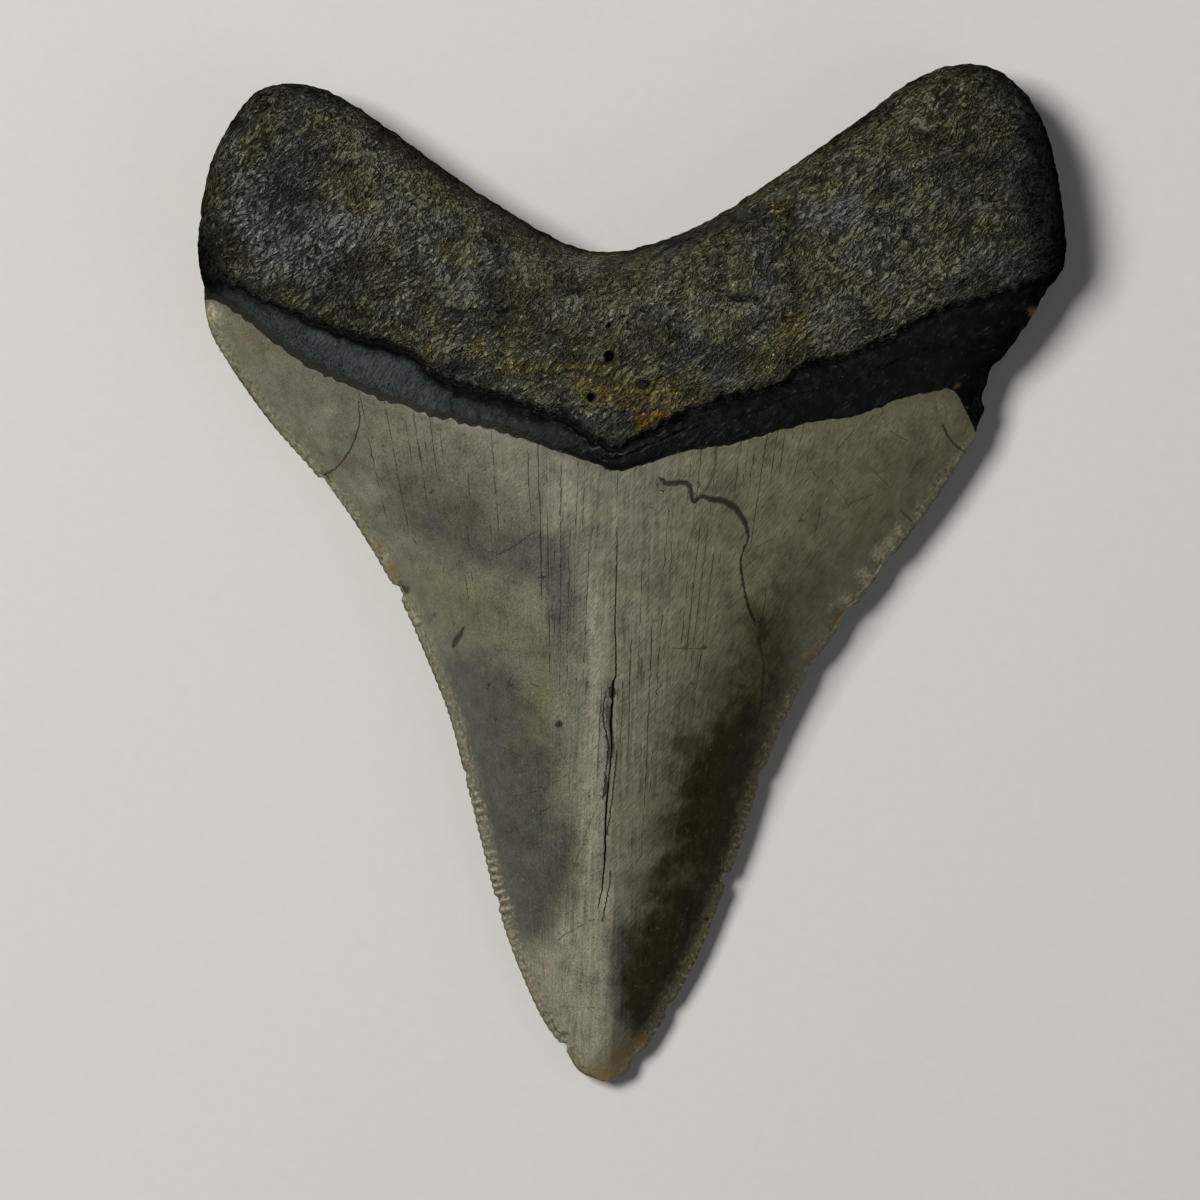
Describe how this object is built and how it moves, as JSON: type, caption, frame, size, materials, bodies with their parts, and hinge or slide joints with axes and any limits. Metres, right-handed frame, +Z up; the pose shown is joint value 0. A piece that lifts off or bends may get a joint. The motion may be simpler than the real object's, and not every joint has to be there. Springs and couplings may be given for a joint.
{
  "type": "fossil megalodon tooth",
  "caption": "Fossil shark tooth lying on its labial face: a V-shaped root with two rounded lobes, a dark band under it and a broad enamel blade with finely serrated cutting edges.",
  "frame": {"origin": "on the surface that the tooth lies on, under the middle of its outline", "axes": "+Z up from that surface, out of the lingual (tongue) face; +Y along the tooth from its tip to its root; +X to the right, seen from above with the root away from the viewer"},
  "size_m": [0.087, 0.102, 0.0208],
  "materials": {
    "fossil_tooth": "olive-grey polished enamel blade, near-black satin band and a rough dark grey-brown root with ochre stains"
  },
  "bodies": {
    "root": {"tooth": "fossil_tooth"}
  },
  "joints": []
}
